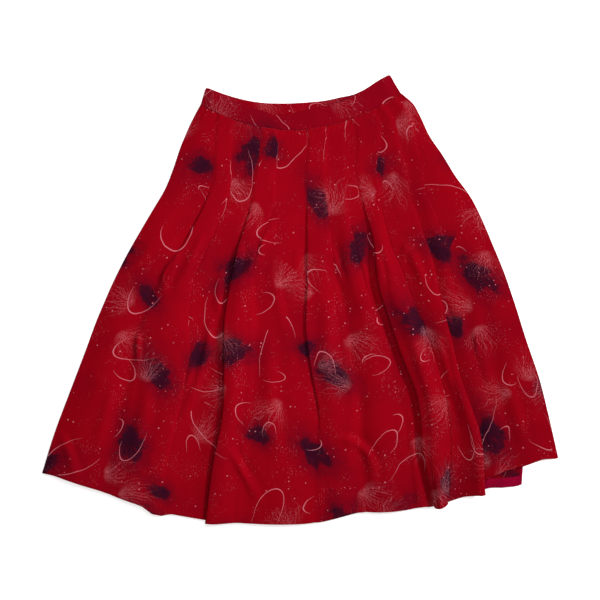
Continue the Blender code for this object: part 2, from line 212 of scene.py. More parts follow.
def smooth_row(points, steps):
    """A finer row through a row's points: sideways distance and height follow a smooth curve,
    the third value goes evenly. Steps gives how many points each stretch is split into."""
    gaps = np.linalg.norm(np.diff(points[:, :2], axis=0), axis=1) ** 0.5
    knots = run_along(gaps)
    slopes = np.gradient(points[:, :2], knots, axis=0)
    stretch = np.repeat(np.arange(len(steps)), steps)
    part = np.concatenate([np.arange(count) / count for count in steps])
    span = gaps[stretch][:, None]
    share = part[:, None]
    start, end = points[stretch], points[stretch + 1]
    curve = smooth_step(share, start[:, :2], end[:, :2], slopes[stretch] * span, slopes[stretch + 1] * span)
    even = start[:, 2:] + (end[:, 2:] - start[:, 2:]) * share
    return np.concatenate((np.concatenate((curve, even), axis=1), points[-1:]))


def rumple(grid):
    """The slack cloth's own waves, from 0 up, the same in every layer so that none cross."""
    heights = np.zeros(grid.shape[:-1])
    for wave in SLACK_WAVES:
        places = grid[..., :2].reshape(-1, 2) / (wave.grain, wave.grain * wave.stretch)
        values = np.array([noise.noise(Vector((x, y, wave.seed))) for x, y in places])
        heights += wave.height * (0.5 + 0.5 * values.reshape(heights.shape))
    return heights


def crease_heights(grid, creases):
    """Each crease as a soft ridge with a shallower trough beside it, run out at both ends."""
    points = grid[..., :2]
    steps = np.linspace(0, 1, 61)[:, None]
    heights = np.zeros(grid.shape[:2])
    for crease in creases:
        start, pull, end = (np.array(spot, float) for spot in (crease.start, crease.pull, crease.end))
        line = start * (1 - steps) ** 2 + pull * 2 * steps * (1 - steps) + end * steps ** 2
        course = unit(np.gradient(line, axis=0))
        squares = (points[..., 0:1] - line[:, 0]) ** 2 + (points[..., 1:2] - line[:, 1]) ** 2
        nearest = np.argmin(squares, axis=-1)
        away = points - line[nearest]
        beside = course[nearest][..., 0] * away[..., 1] - course[nearest][..., 1] * away[..., 0]
        taper = np.sin(np.pi * steps[nearest][..., 0]) ** 0.8
        ridge = np.exp(-(beside / crease.width) ** 2)
        trough = np.exp(-((beside - 1.6 * crease.width) / crease.width) ** 2)
        heights += crease.height * taper * (ridge - 0.5 * trough)
    return heights


def grid_normals(grid):
    """Unit normals of a grid, upward where its rows run down the skirt."""
    return unit(-np.cross(np.gradient(grid, axis=1), np.gradient(grid, axis=0)))


def cloth_places(grid, centre_column):
    """Where each point lies in the printed cloth: along its row, and down the skirt."""
    steps = np.linalg.norm(np.diff(grid[:, :, ::2], axis=1), axis=2)
    along = np.concatenate((np.zeros((len(grid), 1)), np.cumsum(steps, axis=1)), axis=1)
    along += (grid[:, centre_column, 0] - along[:, centre_column])[:, None]
    return np.stack((along, grid[:, :, 1]), axis=2)


def turn_up_hem(grid, places, inside):
    """The panel's layer with its hem turned to the inside: 1 turns it up over the cloth, and
    -1 under it."""
    normals = grid_normals(grid)
    layer = grid - normals * inside * LAYER_OFFSET
    fall = unit(grid[-1] - grid[-2])
    rows, row_places = [layer], [places]
    for angle in np.radians(HEM_TURN_ANGLES):
        lift = -np.cos(angle) * inside * LAYER_OFFSET
        rows.append((grid[-1] + normals[-1] * lift + fall * np.sin(angle) * LAYER_OFFSET)[None])
        row_places.append(places[-1:])
    back_up = slice(-1, -HEM_TURN_ROWS - 2, -1)
    rows.append(grid[back_up] + normals[back_up] * inside * LAYER_OFFSET)
    row_places.append(2 * places[-1:] - places[back_up])
    return np.concatenate(rows), np.concatenate(row_places)


def place_object(name, data):
    """A new object in the scene."""
    placed = bpy.data.objects.new(name, data)
    bpy.context.scene.collection.objects.link(placed)
    return placed


def cloth_object(name, points, faces, materials, places):
    """A smooth object, each of whose points knows its place in the cloth."""
    mesh = bpy.data.meshes.new(name)
    mesh.from_pydata((points * MILLIMETRE).tolist(), [], faces)
    for material in materials:
        mesh.materials.append(material)
    cloth = mesh.attributes.new("cloth_place", "FLOAT_VECTOR", "POINT")
    cloth.data.foreach_set("vector", (places * MILLIMETRE).ravel())
    mesh.update()
    mesh.shade_smooth()
    return place_object(name, mesh)


def cloth_piece(name, middle, places, upper, lower, turned_rows=0, turned=None):
    """A closed thin cloth round a grid's middle surface, with its own material on each side
    and, if given, another on the turned rows of the side that is named by turned."""
    normals = grid_normals(middle)
    sides = (middle + normals * CLOTH_THICKNESS / 2, middle - normals * CLOTH_THICKNESS / 2)
    points = np.concatenate([side.reshape(-1, 3) for side in sides])
    rows, columns = middle.shape[:2]
    under = rows * columns
    corner = (np.arange(rows - 1)[:, None] * columns + np.arange(columns - 1)).ravel()
    top = np.stack((corner, corner + columns, corner + columns + 1, corner + 1), axis=1)
    bottom = top[:, ::-1] + under
    rim = np.concatenate((
        np.arange(columns),
        np.arange(2, rows + 1) * columns - 1,
        np.arange(under - 2, under - columns - 1, -1),
        np.arange(rows - 2, 0, -1) * columns,
    ))
    beyond = np.roll(rim, -1)
    edge = np.stack((rim, beyond, beyond + under, rim + under), axis=1)
    finish = np.repeat((0, 1, 0), (len(top), len(bottom), len(edge)))
    if turned:
        first = (rows - 1 - turned_rows) * (columns - 1)
        start = first if turned[0] == "upper" else len(top) + first
        finish[start:start + turned_rows * (columns - 1)] = 2
    flat = np.zeros((2, under, 3))
    flat[..., :2] = places.reshape(-1, 2)
    materials = [upper, lower] + ([turned[1]] if turned else [])
    faces = np.concatenate((top, bottom, edge)).tolist()
    piece = cloth_object(name, points, faces, materials, flat)
    piece.data.polygons.foreach_set("material_index", finish)
    return piece


def back_grid():
    """Middle surface of the back: pleats stand up inside, plain strips touch the floor."""
    grid = []
    for down in BACK_DOWN:
        left, right = side_points(down)
        width = float(np.linalg.norm(right - left))
        lap = BACK_LAP * (1 - ease((down - BACK_STITCHED) / (BACK_LAP_END - BACK_STITCHED)))
        rise = 2 * LAYER_STEP * (1 - ease((down - BACK_LAP_END) / (BACK_FLAT - BACK_LAP_END)))
        half = BACK_PLEAT_WIDTH / 2 / width
        across, heights, steps = [BACK_SIDE_INSET, 0.04], [0.0, 0.0], [6, 8]
        for middle in BACK_PLEATS:
            for facing, side in (("left", -1), ("right", 1)):
                sideways, height, _ = fold_section(facing, lap, rise)
                across.extend(middle + side * half + sideways / width)
                heights.extend(rise - height)
                steps.extend([1] * 6 + [4])
            if middle != BACK_PLEATS[-1]:
                across.extend((middle + half + 0.035, middle + 0.095))
                heights.extend((0.0, 0.0))
                steps.extend([6, 6])
        across.extend(BACK_HEM_STEP + (1 - BACK_SIDE_INSET,))
        heights.extend((0.0, 0.0, 0.0))
        steps.extend([2, 8])
        across = np.array(across)
        row = smooth_row(np.stack((across * width, heights, across), axis=1), steps)
        x, y = lay_row(row[:, 2], down, BACK_SEAM_SAG, BACK_HEM, row[:, 2])
        sideways = row[:, 0] / width
        x = x + (sideways - row[:, 2]) * (right - left)[0]
        grid.append(np.stack((x, y, BACK_LEVEL + np.maximum(row[:, 1], 0.0)), axis=1))
    return np.array(grid)


class Signal:
    """What a shader node gives out. Plain arithmetic with it adds further nodes."""

    def __init__(self, bench, socket):
        self.bench = bench
        self.socket = socket

    def __add__(self, other):
        return self.bench.sum_up("ADD", self, other)

    def __sub__(self, other):
        return self.bench.sum_up("SUBTRACT", self, other)

    def __mul__(self, other):
        return self.bench.sum_up("MULTIPLY", self, other)

    def __truediv__(self, other):
        return self.bench.sum_up("DIVIDE", self, other)

    def __rtruediv__(self, other):
        return self.bench.sum_up("DIVIDE", other, self)

    def __abs__(self):
        return self.bench.sum_up("ABSOLUTE", self)


class Bench:
    """Adds nodes to one shader tree and joins them up."""

    def __init__(self, tree):
        self.tree = tree

    def feed(self, socket, value):
        if isinstance(value, Signal):
            self.tree.links.new(value.socket, socket)
        else:
            socket.default_value = value

    def set_up(self, node, **inputs):
        for name, value in inputs.items():
            self.feed(node.inputs[name.replace("_", " ")], value)

    def add(self, kind, settings=None, values=(), **inputs):
        """A node with its settings, its first inputs and its named inputs, as what it gives out."""
        node = self.tree.nodes.new(kind)
        for name, value in (settings or {}).items():
            setattr(node, name, value)
        for socket, value in zip(node.inputs, values):
            self.feed(socket, value)
        self.set_up(node, **inputs)
        return [Signal(self, socket) for socket in node.outputs]

    def sum_up(self, operation, *values):
        """One step of arithmetic on numbers."""
        return self.add("ShaderNodeMath", {"operation": operation}, values)[0]

    def most(self, first, *others):
        """The largest of several numbers."""
        for other in others:
            first = self.sum_up("MAXIMUM", first, other)
        return first

    def move(self, operation, *values, **inputs):
        """One step of arithmetic on places."""
        place, length = self.add("ShaderNodeVectorMath", {"operation": operation}, values, **inputs)
        return length if operation == "LENGTH" else place

    def fade(self, value, start, end, low=0.0, high=1.0):
        """Goes smoothly from low at start to high at end."""
        numbers = (value, start, end, low, high)
        return self.add("ShaderNodeMapRange", {"interpolation_type": "SMOOTHSTEP"}, numbers)[0]

    def split(self, place):
        return self.add("ShaderNodeSeparateXYZ", None, (place,))

    def join(self, x, y, z=0.0):
        return self.add("ShaderNodeCombineXYZ", None, (x, y, z))[0]

    def clouds(self, place, scale, detail=2.0, roughness=0.5):
        """Uneven cloudy noise, as a number and as a place."""
        return self.add("ShaderNodeTexNoise", Vector=place, Scale=scale, Detail=detail, Roughness=roughness)

    def blend(self, share, first, second):
        node = self.tree.nodes.new("ShaderNodeMix")
        node.data_type = "RGBA"
        for index, value in ((0, share), (6, first), (7, second)):
            self.feed(node.inputs[index], value)
        return Signal(self, node.outputs[2])

    def scatter(self, place, spacing, randomness):
        """The nearest of many scattered spots: the place seen from it, and its three own chances."""
        cells = self.add("ShaderNodeTexVoronoi", {"voronoi_dimensions": "2D"}, Vector=place,
                         Scale=1.0 / spacing, Randomness=randomness)
        return self.move("SUBTRACT", place, cells[2]), self.split(cells[1])

    def turned(self, place, angle):
        return self.add("ShaderNodeVectorRotate", {"rotation_type": "Z_AXIS"}, Vector=place, Angle=angle)[0]

    def cloth_place(self):
        """Where the shaded point lies in the cloth."""
        return self.add("ShaderNodeAttribute", {"attribute_name": "cloth_place"})[1]

    def use(self, group, **inputs):
        """Places a group, with its own values."""
        return self.add("ShaderNodeGroup", {"node_tree": group}, **inputs)


def shader_group(work, inputs, outputs):
    """A shader group that has the name and does the work of a function, with named sockets."""
    tree = bpy.data.node_groups.new(work.__name__, "ShaderNodeTree")
    kinds = {1: "NodeSocketFloat", 3: "NodeSocketVector", 4: "NodeSocketColor"}
    for label, value in inputs.items():
        kind = kinds[np.size(value)]
        tree.interface.new_socket(name=label, in_out="INPUT", socket_type=kind).default_value = value
    for label, size in outputs.items():
        tree.interface.new_socket(name=label, in_out="OUTPUT", socket_type=kinds[size])
    bench = Bench(tree)
    arriving = bench.add("NodeGroupInput")[:len(inputs)]
    results = work(bench, *arriving)
    bench.add("NodeGroupOutput", None, results if isinstance(results, tuple) else (results,))
    return tree


NOWHERE = (0.0, 0.0, 0.0)
FULL_TURN = 6.283
Leaf = namedtuple("Leaf", "turn share chance")
CLUMP = (Leaf(0.0, 1.0, 0.12), Leaf(0.5, 0.86, 0.3), Leaf(-0.42, 0.7, 0.2))
BRISTLES_ALONG, BRISTLES_ACROSS = 45.0, 520.0
Spray = namedtuple("Spray", "hairs bend seed")
SEED_SPRAYS = (Spray(34.0, 0.55, 0.0), Spray(27.0, -0.5, 7.3), Spray(44.0, 0.12, 15.1))
SMALLEST_SPECK = 0.0003


def brushed_leaves(bench, place, spacing, length, width):
    """Clumps of broad dry-brushed leaves that share one foot, in a thin streaked wash."""
    spot, (heading, chance, _) = bench.scatter(place, spacing, 0.72)
    lumps = bench.clouds(place, 45.0, 3.0, 0.6)[0]
    strokes, washes = [], []
    for leaf in CLUMP:
        x, y, _ = bench.split(bench.turned(spot, heading * FULL_TURN + leaf.turn))
        half_length = length * (0.5 * leaf.share)
        along = (x - half_length * 0.6) / half_length
        reach = bench.move("LENGTH", bench.join(along, y / (width * leaf.share)))
        bristled = bench.join(x * BRISTLES_ALONG, y * BRISTLES_ACROSS, leaf.share)
        bristles = bench.clouds(bristled, 1.0, 5.0, 0.7)[0]
        dry = bench.fade(abs(along), 0.1, 1.1, 0.8, 2.6)
        ragged = reach + (bristles - 0.5) * dry + (lumps * 1.6 - 0.8)
        present = bench.fade(chance, leaf.chance, leaf.chance + 0.02)
        streaked = present * bench.fade(bristles, 0.38, 0.58, 0.66, 1.0)
        fringe = bench.fade(ragged, 1.9, 1.3) * 0.6
        halo = bench.fade(ragged, 3.0, 1.0) * bench.fade(bristles, 0.4, 0.62, 0.16, 0.5)
        strokes.append(bench.fade(ragged, 1.08, 0.8) * streaked)
        washes.append(bench.most(fringe, halo) * present)
    return bench.most(*strokes), bench.most(*washes)


def seed_heads(bench, place, spacing, reach, hair):
    """Fans of single seed hairs that leave one spot, bend over and break into dots."""
    spot, (chance, heading, own_seed) = bench.scatter(place, spacing, 0.8)
    fan = bench.turned(spot, heading * FULL_TURN)
    x, y, _ = bench.split(fan)
    angle = bench.sum_up("ARCTAN2", y, x)
    from_spot = bench.move("LENGTH", fan)
    away = from_spot / reach
    sway, _, gather = bench.split(bench.clouds(place, 26.0, 2.0)[1])
    dots = bench.clouds(place, 560.0, 2.0, 0.7)[0]
    spread = abs(angle) + away * 0.5
    opening = bench.fade(gather * 1.2 + spread, 2.0, 0.9) * bench.fade(away, 0.0, 0.14)
    layers = []
    for spray in SEED_SPRAYS:
        turn = (angle + away * spray.bend + sway * 0.55) * (spray.hairs / FULL_TURN)
        own_place = bench.join(bench.sum_up("FLOOR", turn), own_seed + spray.seed)
        own = bench.add("ShaderNodeTexWhiteNoise", {"noise_dimensions": "2D"}, Vector=own_place)[1]
        own_side, own_length, _ = bench.split(own)
        beside = abs(bench.sum_up("FRACT", turn) - (own_side * 0.7 + 0.15))
        beside = beside * (from_spot * (FULL_TURN / spray.hairs))
        length = own_length * 0.75 + 0.3
        layers.append(bench.fade(beside, hair, hair * 0.3) * bench.fade(away, length, length * 0.55))
    broken = bench.fade(dots, away * 0.12 + 0.4, 0.62, 0.12, 1.0)
    mist = bench.fade(away, 1.0, 0.1) * bench.fade(dots, 0.58, 0.68, 0.0, 0.45)
    mask = bench.most(bench.most(*layers) * broken, mist)
    return mask * opening * bench.fade(chance, 0.26, 0.28)


def vine_tendrils(bench, place, spacing, curl, line):
    """Single curled tendrils drawn with a fine pale line that thins at both ends."""
    spot, (size, growth, heading) = bench.scatter(place, spacing, 0.7)
    squeezed = bench.move("MULTIPLY", bench.turned(spot, heading * FULL_TURN), (1.0, 2.1, 1.0))
    x, y, _ = bench.split(squeezed)
    angle = bench.sum_up("ARCTAN2", y, x)
    own_curl = curl * bench.fade(size, 0.0, 1.0, 0.6, 1.25)
    course = own_curl * (angle * bench.fade(growth, 0.0, 1.0, 0.08, 0.34) + 1.0)
    beside = abs(bench.move("LENGTH", squeezed) - course)
    far_end = bench.fade(size, 0.0, 1.0, 0.6, 2.4)
    near_end = bench.fade(growth, 0.0, 1.0, -2.2, -0.9)
    taper = bench.fade(angle, far_end, far_end - 0.9) * bench.fade(angle, near_end, near_end + 0.9)
    width = line * (taper * 0.75 + 0.25)
    return bench.fade(beside, width * 1.25, width * 0.6) * bench.fade(taper, 0.0, 0.12)


def paint_specks(bench, place, spacing, largest, cluster_size):
    """Round specks of many sizes, in loose clusters."""
    spot, (size, chance, _) = bench.scatter(place, spacing, 1.0)
    radius = bench.sum_up("POWER", size, 3.0) * largest + SMALLEST_SPECK
    crowd = bench.clouds(place, 1.0 / cluster_size, 2.0)[0]
    gathered = bench.fade(chance * 0.16 + crowd, 0.655, 0.7)
    return bench.fade(bench.move("LENGTH", spot), radius, radius * 0.55) * gathered


def crepe_weave(bench, place, yarn, pebble):
    """Crepe's fine pebbled face over its crossed, hard-twisted yarns."""
    pebbles, shake = bench.clouds(place, 1.0 / pebble, 3.0, 0.6)
    x, y, _ = bench.split(bench.move("ADD", place, bench.move("SCALE", shake, Scale=0.0005)))
    turns = FULL_TURN / yarn
    yarns = bench.sum_up("SINE", x * turns) * bench.sum_up("SINE", y * turns)
    height = yarns * 0.18 + pebbles
    return height, bench.fade(height, 0.2, 0.8)


SPACED = {"Place": NOWHERE, "Spacing": 0.15}
LEAVES = shader_group(brushed_leaves, {**SPACED, "Length": 0.06, "Width": 0.011}, {"Stroke": 1, "Wash": 1})
SEEDS = shader_group(seed_heads, {**SPACED, "Reach": 0.075, "Hair": 0.00055}, {"Hairs": 1})
TENDRILS = shader_group(vine_tendrils, {**SPACED, "Curl": 0.026, "Line": 0.0009}, {"Tendril": 1})
SPECKS = shader_group(paint_specks, {**SPACED, "Largest": 0.0016, "Cluster Size": 0.045}, {"Specks": 1})
WEAVE = shader_group(crepe_weave, {"Place": NOWHERE, "Yarn": 0.0006, "Pebble": 0.0018},
                     {"Height": 1, "Shade": 1})


def meadow_print(bench, place, ground, deep_ground, dark, pale, strength):
    """The skirt's print: dark brushed leaves, pale seed heads, curled tendrils and specks on a
    ground that was washed on unevenly."""
    flow = bench.move("SUBTRACT", bench.clouds(place, 14.0, 2.0)[1], (0.5, 0.5, 0.5))
    drawn = bench.move("ADD", place, bench.move("SCALE", flow, Scale=0.022))

    def motif(group, shift, spacing, **sizes):
        """One motif, scattered over the cloth and shifted clear of the others."""
        return bench.use(group, Place=bench.move("ADD", drawn, shift), Spacing=spacing, **sizes)

    uneven = bench.clouds(place, 7.0, 4.0, 0.6)[0]
    colour = bench.blend(bench.fade(uneven, 0.4, 0.72, 0.08, 0.55), ground, deep_ground)
    large_stroke, large_wash = motif(LEAVES, NOWHERE, 0.19, Length=0.078, Width=0.0185)
    small_stroke, small_wash = motif(LEAVES, (0.37, 0.21, 0.0), 0.21, Length=0.05, Width=0.015)
    thin_dark = bench.blend(0.55, dark, deep_ground)
    colour = bench.blend(bench.most(large_wash, small_wash) * 0.9, colour, thin_dark)
    colour = bench.blend(bench.most(large_stroke, small_stroke) * strength, colour, dark)
    long_hairs = motif(SEEDS, (0.11, 0.53, 0.0), 0.15, Reach=0.1)[0]
    short_hairs = motif(SEEDS, (0.71, 0.29, 0.0), 0.21, Reach=0.085)[0]
    colour = bench.blend(bench.most(long_hairs, short_hairs) * (strength * 0.7), colour, pale)
    large_curls = motif(TENDRILS, (0.83, 0.17, 0.0), 0.14, Curl=0.05, Line=0.00105)[0]
    small_curls = motif(TENDRILS, (0.29, 0.67, 0.0), 0.17, Curl=0.03, Line=0.0009)[0]
    small_specks = bench.use(SPECKS, Place=place, Spacing=0.0042, Largest=0.0006, Cluster_Size=0.05)[0]
    large_specks = bench.use(SPECKS, Place=place, Spacing=0.011, Largest=0.0016, Cluster_Size=0.035)[0]
    marks = bench.most(large_curls, small_curls, small_specks * 0.6, large_specks) * strength
    return bench.blend(marks * 0.95, colour, pale)


BRIGHT_RED = (0.274, 0.0005, 0.0052, 1.0)
DEEP_CRIMSON = (0.165, 0.0004, 0.0066, 1.0)
AUBERGINE = (0.0240, 0.0027, 0.0105, 1.0)
PALE_PINK = (0.560, 0.1450, 0.1800, 1.0)
HEM_MAGENTA = (0.290, 0.0010, 0.0240, 1.0)
HEM_CRIMSON = (0.210, 0.0008, 0.0180, 1.0)
# Colour of the painted shade that follows the crepe weave's relief
WEAVE_SHADE_RED = (0.05, 0.0, 0.004, 1.0)
CREPE_BLOOM = (1.0, 0.06, 0.12, 1.0)
THREAD_CRIMSON = (0.24, 0.001, 0.008, 1.0)
THREAD_SHADE = (0.10, 0.0005, 0.005, 1.0)
PRINT = shader_group(
    meadow_print,
    {"Place": NOWHERE, "Ground": BRIGHT_RED, "Deep Ground": DEEP_CRIMSON, "Dark": AUBERGINE,
     "Pale": PALE_PINK, "Strength": 1.0},
    {"Colour": 4},
)


def new_material(name):
    """A material with its bench and its main shader."""
    material = bpy.data.materials.new(name)
    material.use_nodes = True
    return material, Bench(material.node_tree), material.node_tree.nodes["Principled BSDF"]


def shade_crepe(bench, shader, place, colour, relief):
    """Crepe's matte look, with the weave's relief and a faint bloom."""
    height, shade = bench.use(WEAVE, Place=place)
    bench.set_up(
        shader,
        # Painted shade: the base colour darkens a little where the weave's relief mask is high, the same
        # relief that bumps it.
        Base_Color=bench.blend(shade * 0.16, colour, WEAVE_SHADE_RED),
        Roughness=shade * 0.1 + 0.8,
        Normal=bench.add("ShaderNodeBump", Strength=relief, Distance=0.0004, Height=height)[0],
        Specular_IOR_Level=0.012,
        Sheen_Weight=0.03,
        Sheen_Roughness=0.45,
        Sheen_Tint=CREPE_BLOOM,
    )


def printed_crepe(name, shift, strength=1.0, ground=BRIGHT_RED, relief=0.5):
    """Crepe printed with the meadow, cut from a stretch of cloth that is set by shift."""
    material, bench, shader = new_material(name)
    moved = bench.move("ADD", bench.cloth_place(), shift)
    colour = bench.use(PRINT, Place=moved, Ground=ground, Strength=strength)[0]
    shade_crepe(bench, shader, moved, colour, relief)
    return material


def plain_crepe(name, ground, deep):
    """Unprinted crepe, dyed a little unevenly."""
    material, bench, shader = new_material(name)
    place = bench.cloth_place()
    uneven = bench.clouds(place, 35.0, 3.0)[0]
    colour = bench.blend(bench.fade(uneven, 0.35, 0.7), ground, deep)
    shade_crepe(bench, shader, place, colour, 0.5)
    return material


def spun_thread(name, colour, deep):
    """Matte two-ply sewing thread."""
    material, bench, shader = new_material(name)
    place = bench.cloth_place()
    twist = bench.add("ShaderNodeTexWave", {"bands_direction": "DIAGONAL"}, Vector=place, Scale=900.0,
                      Distortion=1.5)[1]
    bench.set_up(
        shader,
        Base_Color=bench.blend(twist, deep, colour),
        Roughness=bench.fade(twist, 0.0, 1.0, 0.7, 0.5),
        Normal=bench.add("ShaderNodeBump", Strength=0.5, Distance=0.0001, Height=twist)[0],
    )
    return material


THREAD_RADIUS = 0.17
STITCH_SIDES = 5
DITCH_SHARE = 0.4
EDGE_LIFT = 1.2
Stitch = namedtuple("Stitch", "length step slant")
SEAM_STITCH = Stitch(2.2, 2.8, 0.0)
BLIND_STITCH = Stitch(3.0, 9.0, 0.9)
ArchRing = namedtuple("ArchRing", "along height size")
STITCH_ARCH = table(
    ArchRing,
    (-0.5, -0.10, 0.6), (-0.3, 0.10, 1.0), (0.0, 0.16, 1.0), (0.3, 0.10, 1.0), (0.5, -0.10, 0.6),
)


def stitch_row(name, line, outward, stitch, thread):
    """Small arched stitches along a line, one every step millimetres, each turned by its slant."""
    run = run_along(np.linalg.norm(np.diff(line, axis=0), axis=1))
    stations = np.arange(stitch.step, run[-1] - stitch.step, stitch.step)
    courses = (line, np.gradient(line, axis=0), outward)
    middles, ways, up = (
        np.stack([np.interp(stations, run, axis) for axis in course.T], axis=1) for course in courses
    )
    up = unit(up)
    ways = unit(ways - up * np.sum(ways * up, axis=1, keepdims=True))
    sides = np.cross(up, ways)
    turned_ways = ways * np.cos(stitch.slant) + sides * np.sin(stitch.slant)
    turned_sides = sides * np.cos(stitch.slant) - ways * np.sin(stitch.slant)
    rings = []
    for along, height, size in STITCH_ARCH:
        for turn in np.linspace(0, 2 * np.pi, STITCH_SIDES, endpoint=False):
            rings.append(
                middles + turned_ways * along * stitch.length
                + turned_sides * THREAD_RADIUS * size * np.cos(turn)
                + up * (height + THREAD_RADIUS * size * np.sin(turn))
            )
    points = np.stack(rings, axis=1).reshape(-1, 3)
    around = np.arange(STITCH_SIDES)
    beyond = np.roll(around, -1)
    last_ring = len(rings) - STITCH_SIDES
    faces = [around[::-1], around + last_ring]
    for near in range(0, last_ring, STITCH_SIDES):
        far = near + STITCH_SIDES
        faces.extend(np.stack((around + near, beyond + near, beyond + far, around + far), axis=1))
    firsts = range(0, len(points), len(rings))
    all_faces = [(face + first).tolist() for first in firsts for face in faces]
    stitches = cloth_object(name, points, all_faces, [thread], points)
    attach(stitches, "root")
    return stitches


def panel_sewing(name, middle, inside):
    """The stitches in the waist seam's ditch and the blind stitches that hold the hem turning."""
    normals = grid_normals(middle)
    ditch = middle[0] * (1 - DITCH_SHARE) + middle[1] * DITCH_SHARE + normals[0] * CLOTH_THICKNESS / 2
    turned_edge = middle[-1] + normals[-1] * CLOTH_THICKNESS / 2 * EDGE_LIFT * inside
    return [
        stitch_row(name + "_waist_stitches", ditch, normals[0], SEAM_STITCH, crimson_thread),
        stitch_row(name + "_hem_stitches", turned_edge, normals[-1] * inside, BLIND_STITCH, crimson_thread),
    ]


crimson_thread = spun_thread("crimson_thread", THREAD_CRIMSON, THREAD_SHADE)

BACK_CUT = (0.35, 0.62, 0.0)
INSIDE_STRENGTH = 0.8
back_face = printed_crepe("back_printed_crepe", BACK_CUT)
back_inside = printed_crepe("back_crepe_inside", BACK_CUT, INSIDE_STRENGTH)
hem_crepe = plain_crepe("hem_turning_crepe", HEM_MAGENTA, HEM_CRIMSON)

back_flat = back_grid()
back_lifted = back_flat.copy()
back_lifted[..., 2] += rumple(back_flat) + np.maximum(crease_heights(back_flat, BACK_CREASES), 0.0)
back_places = cloth_places(back_flat, back_flat.shape[1] // 2)
back_middle, back_places = turn_up_hem(back_lifted, back_places, inside=1)
back_panel = cloth_piece(
    "back_panel", back_middle, back_places,
    upper=back_inside,
    lower=back_face,
    turned_rows=HEM_TURN_ROWS + len(HEM_TURN_ANGLES),
    turned=("lower", hem_crepe),
)
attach(back_panel, "root")
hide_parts("skirt_back")
panel_sewing("back", back_middle, inside=1)

# Front panel
# The same flared crepe with its face up. Its five box pleats are stitched down from the waist
# to the hip, then open into the soft uneven folds that the cloth fell into when it was laid
# down. Its hem is turned under.
FRONT_SEAM_SAG = 60.0
FRONT_EDGE_LEVEL = 1.95
PLEAT_CLEARANCE = 3.4
FRONT_LOFT = 4.0
EDGE_SHARE = 0.055
CLEARANCE_DELAY = 0.04
CLEARANCE_RUN = 0.12
LOFT_START = 0.15
LOFT_RUN = 0.4
SIDE_EDGE = (0.0, 1.2, 3.4)
SIDE_SEAM_DROP = 1.0
SIDE_SEAM_WIDTH = 6.0
STITCHED_PRESSED = 0.45
STITCHED_RAMP = 4.5
OPEN_RAMP = 9.0
PLEATS_STITCHED = 0.16
PLEATS_OPEN = 0.30
PUCKER_SPACING = 13.0
PUCKER_HEIGHT = 0.45
PUCKER_REACH = 0.03
FRONT_DOWN = np.concatenate((np.linspace(0, 0.06, 16)[:-1], np.linspace(0.06, 1, 120)))
FRONT_HEM = table(
    HemPoint,
    (0.000, 0.0), (0.031, -4.5), (0.080, -5.5), (0.112, -6.5), (0.157, -2.6), (0.192, 0.8), (0.203, 6.6),
    (0.213, 11.0), (0.222, 11.4), (0.232, 9.0), (0.248, 4.0), (0.315, 4.6), (0.317, 11.3), (0.384, 3.3),
    (0.500, 2.7), (0.540, 0.5), (0.580, -6.1), (0.612, -10.5), (0.650, -5.0), (0.694, -0.5),
    (0.730, 1.2), (0.757, 5.0), (0.760, 8.2), (0.764, 11.2), (0.769, 12.6), (0.775, 12.7), (0.779, 11.4),
    (0.783, 8.6), (0.788, 4.6), (0.812, 3.7), (0.840, 8.9), (0.857, 13.5), (0.859, -16.5),
    (0.898, -19.2), (0.925, -14.4), (0.964, -11.5), (1.000, 0.0),
)

# The folds, from left to right: two for each pleat, and the deep valley's own before the fourth.
# Line says where a fold lies across the skirt, in thousandths of its width from the left side, at
# LINE_STATIONS down. Lap says how far it laps over the cloth beside it, and rise how high its top
# stands over that cloth, both at DEPTH_STATIONS. A fold that faces left has the cloth on its right
# side on top.
LINE_STATIONS = (0.0, 0.08, 0.14, 0.22, 0.30, 0.40, 0.50, 0.60, 0.72, 0.86, 1.0)
DEPTH_STATIONS = (0.0, 0.22, 0.32, 0.45, 0.60, 0.80, 1.0)
Fold = namedtuple("Fold", "facing line lap rise")
FOLDS = table(
    Fold,
    ("left", (90, 127, 148, 137, 127, 112, 104, 102, 116, 125, 130),
     (10, 9, 3, 1, 0, 0, 0), (3.2, 3.2, 3.4, 3.6, 3.4, 2, 1)),
    ("right", (157, 188, 205, 202, 194, 187, 200, 226, 226, 222, 222),
     (10, 11, 8, 5, 3, 2, 0), (3.2, 3.4, 6, 6, 5, 4, 2)),
    ("left", (308, 312, 302, 288, 276, 282, 288, 304, 318, 315, 316),
     (10, 11, 6, 7, 7, 7, 6), (3.2, 3.4, 6, 8, 9.5, 9, 6.5)),
    ("right", (373, 378, 378, 362, 336, 344, 362, 372, 376, 378, 380),
     (10, 10, 4, 1, 0, 0, 0), (3.2, 3.6, 7, 6, 3, 2, 1)),
    ("left", (530, 512, 500, 488, 485, 494, 494, 510, 530, 534, 536),
     (11, 11, 7, 5, 4, 1, 0), (3.2, 3.4, 4.4, 5.4, 5.6, 3, 1)),
    ("right", (616, 590, 574, 562, 561, 575, 590, 600, 610, 615, 618),
     (11, 10, 5, 1, 0, 0, 0), (3.2, 3.3, 4, 2, 1.5, 1, 1)),
    ("right", (692, 678, 656, 630, 634, 652, 677, 692, 702, 708, 712),
     (0, 2, 6, 4, 0, 0, 0), (0.5, 3.4, 11, 9, 3, 2, 1)),
    ("left", (752, 724, 700, 688, 688, 684, 700, 721, 745, 743, 758),
     (11, 10, 7, 8, 7, 2, 0), (3.2, 3.6, 9, 12, 12, 12, 11)),
    ("right", (862, 812, 780, 746, 734, 757, 775, 794, 805, 802, 786),
     (11, 10, 6, 5, 4, 3, 3), (3.2, 3.4, 8, 9, 9, 8, 9)),
    ("right", (908, 888, 876, 848, 836, 842, 838, 843, 847, 862, 858),
     (5, 10, 8, 7, 6, 8, 9), (3.2, 3.4, 5, 6, 7, 10, 8)),
    ("right", (968, 958, 936, 900, 888, 890, 892, 896, 902, 908, 912),
     (6, 8, 3, 0, 0, 0, 0), (3.2, 3.3, 3.2, 2, 1, 1, 1)),
)

